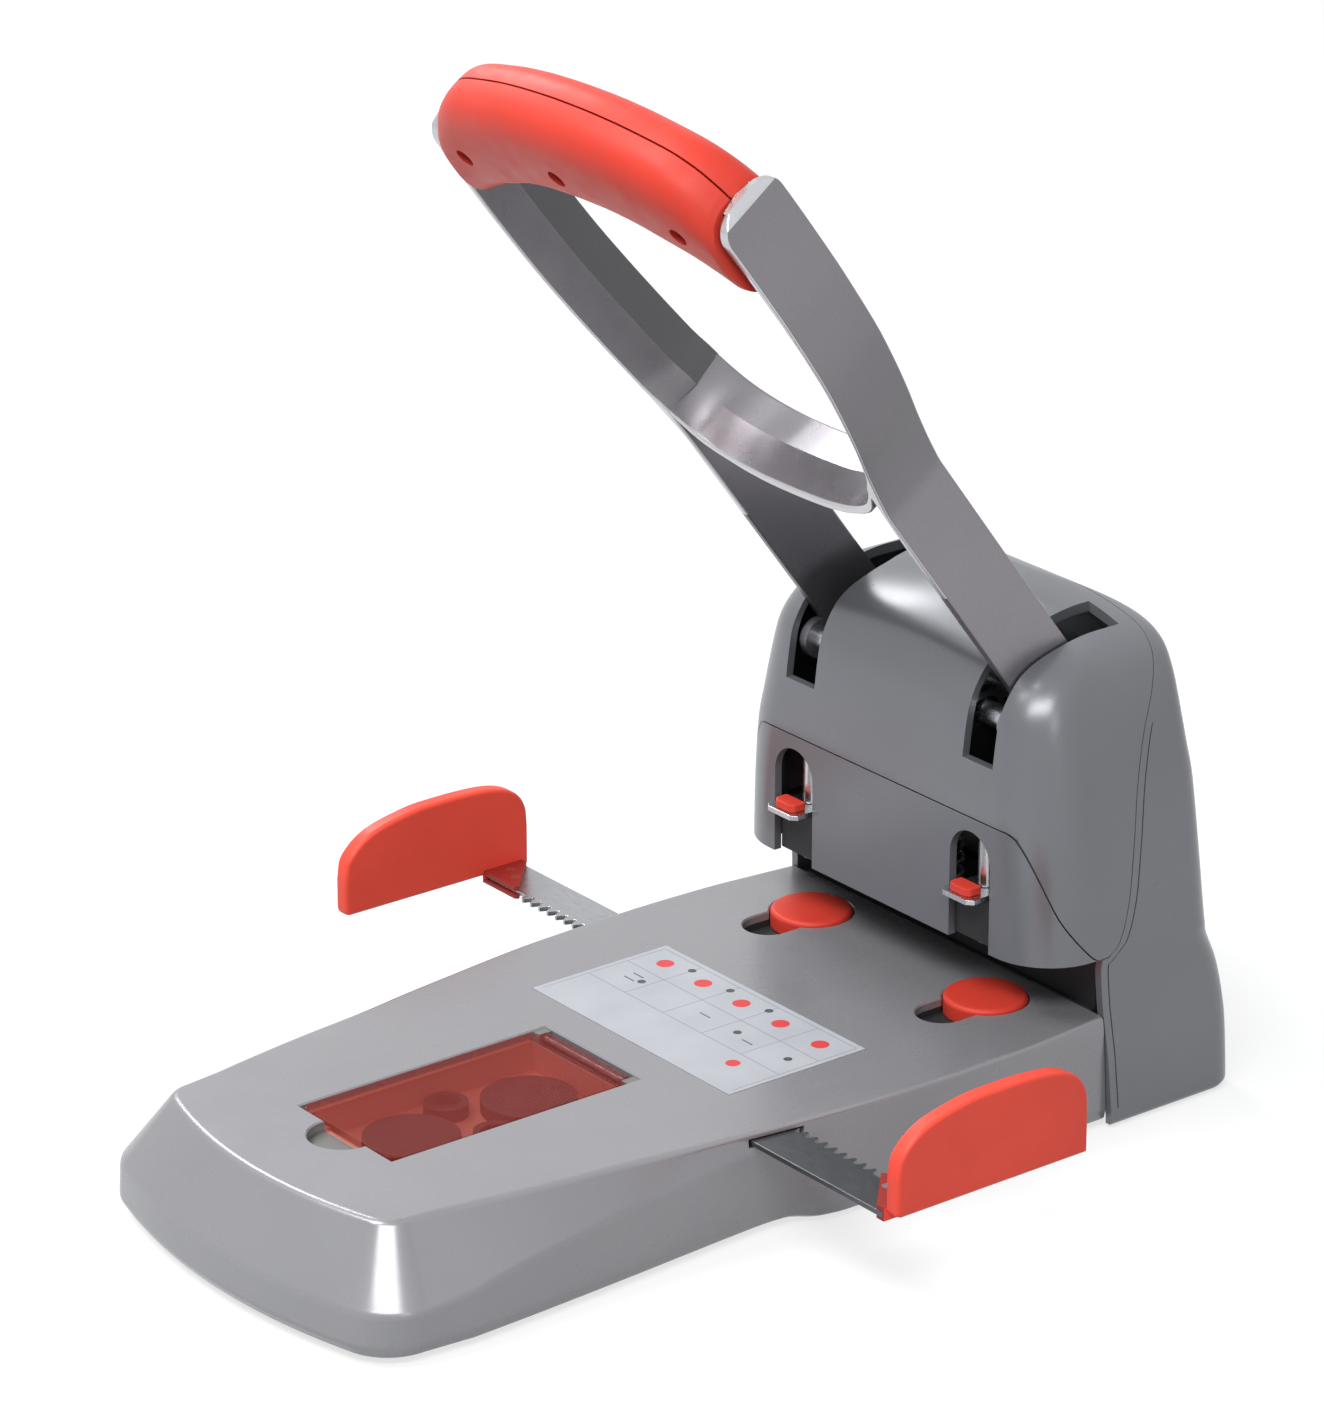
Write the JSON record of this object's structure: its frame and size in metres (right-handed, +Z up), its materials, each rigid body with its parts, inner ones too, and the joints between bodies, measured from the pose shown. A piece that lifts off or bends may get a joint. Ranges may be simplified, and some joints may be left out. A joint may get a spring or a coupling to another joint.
{
  "type": "hole punch",
  "caption": "Heavy-duty hand-lever hole punch: looped handle, hollow pins over cutting discs, and paper guides that move together on racks.",
  "frame": {"origin": "middle of the whole machine's outline seen from above, on the surface that it stands on, with the handle raised", "axes": "+Z up, -Y the front where the paper goes in, +X the right-hand side seen from the front"},
  "size_m": [0.2636, 0.317, 0.3222],
  "materials": {
    "silver_shell": "satin moulded cover",
    "grey_shell": "satin moulded cover",
    "handle_metal": "satin metallic grey",
    "red_plastic": "satin",
    "clear_red": "see-through red",
    "steel": "plain steel",
    "bright_steel": "bright turned steel",
    "dark_plastic": "dark grey",
    "rubber": "matt",
    "label_white": "printed sheet, left plain",
    "brass": "satin"
  },
  "bodies": {
    "base": {"base_cover": "silver_shell", "base_plate": "steel", "rubber_feet": "rubber", "base_screws": "steel", "hole_label": "label_white", "storage_tray": "silver_shell", "lid_hinge_pin": "steel", "spare_discs": "red_plastic", "spare_rings": "dark_plastic", "disc_cup_left": "dark_plastic", "disc_cup_right": "dark_plastic", "guide_channel": "dark_plastic", "pinion_screw": "steel", "frame_side_left": "steel", "frame_side_right": "steel", "anvil_plate": "steel", "head_plate": "steel", "rear_ties": "steel", "frame_bolts": "steel", "paper_stop": "dark_plastic", "pin_guide_left": "dark_plastic", "pin_guide_right": "dark_plastic", "handle_axle": "bright_steel", "axle_clips": "dark_plastic", "front_cover": "grey_shell", "punch_cover": "grey_shell", "rear_cover": "grey_shell", "cover_screws": "steel"},
    "handle": {"handle_frame": "handle_metal", "handle_core": "steel", "grip_front": "red_plastic", "grip_rear": "red_plastic", "grip_screws": "steel", "crank_rod": "bright_steel"},
    "punch_beam": {"punch_beam": "steel", "punch_pin_left": "bright_steel", "punch_pin_right": "bright_steel", "return_spring_left": "steel", "return_spring_right": "steel"},
    "clip_left": {"release_clip_left": "bright_steel", "clip_tip_left": "red_plastic"},
    "clip_right": {"release_clip_right": "bright_steel", "clip_tip_right": "red_plastic"},
    "guide_left": {"guide_bar_left": "steel", "guide_plate_left": "red_plastic", "guide_rivets_left": "bright_steel"},
    "guide_right": {"guide_bar_right": "steel", "guide_plate_right": "red_plastic", "guide_rivets_right": "bright_steel"},
    "pinion": {"guide_pinion": "brass"},
    "disc_left": {"cutting_disc_left": "red_plastic"},
    "disc_right": {"cutting_disc_right": "red_plastic"},
    "storage_lid": {"storage_lid": "clear_red"},
    "chip_drawer": {"chip_drawer": "dark_plastic"}
  },
  "joints": [
    {"name": "handle_tilt", "type": "hinge", "parent": "base", "child": "handle", "pos_m": [0, 0.1175, 0.1155], "axis": [1, 0, 0], "range_deg": [0, 38], "stiffness_Nm_per_rad": 3, "springref_deg": -20.05},
    {"name": "punch_stroke", "type": "slide", "parent": "base", "child": "punch_beam", "axis": [0, 0, -1], "range_m": [0, 0.0166], "deforming": ["return_spring_left", "return_spring_right"]},
    {"name": "guide_right_slide", "type": "slide", "parent": "base", "child": "guide_right", "axis": [1, 0, 0], "range_m": [-0.034, 0.022]},
    {"name": "guide_left_slide", "type": "slide", "parent": "base", "child": "guide_left", "axis": [-1, 0, 0], "range_m": [-0.0341, 0.0221]},
    {"name": "pinion_spin", "type": "hinge", "parent": "base", "child": "pinion", "pos_m": [0, 0.0095, 0.0338], "axis": [0, 0, 1], "range_deg": [-104.6, 67.8]},
    {"name": "clip_left_pull", "type": "slide", "parent": "base", "child": "clip_left", "axis": [0, -1, 0], "range_m": [0, 0.004], "stiffness_N_per_m": 150, "springref_m": -0.003},
    {"name": "clip_right_pull", "type": "slide", "parent": "base", "child": "clip_right", "axis": [0, -1, 0], "range_m": [0, 0.004], "stiffness_N_per_m": 150, "springref_m": -0.003},
    {"name": "disc_left_turn", "type": "hinge", "parent": "base", "child": "disc_left", "pos_m": [-0.04, 0.0875, 0.0349], "axis": [0, 0, 1], "continuous": true},
    {"name": "disc_right_turn", "type": "hinge", "parent": "base", "child": "disc_right", "pos_m": [0.04, 0.0875, 0.0349], "axis": [0, 0, 1], "continuous": true},
    {"name": "lid_hinge", "type": "hinge", "parent": "base", "child": "storage_lid", "pos_m": [0, -0.0284, 0.0343], "axis": [-1, 0, 0], "range_deg": [0, 95]},
    {"name": "chip_drawer_slide", "type": "slide", "parent": "base", "child": "chip_drawer", "axis": [0, 1, 0], "range_m": [0, 0.045]}
  ],
  "couplings": [
    {"joint": "punch_stroke", "follows": "handle_tilt", "m_per_rad": 0.024878},
    {"joint": "guide_left_slide", "follows": "guide_right_slide", "ratio": 1},
    {"joint": "pinion_spin", "follows": "guide_right_slide", "rad_per_m": 53.571}
  ]
}
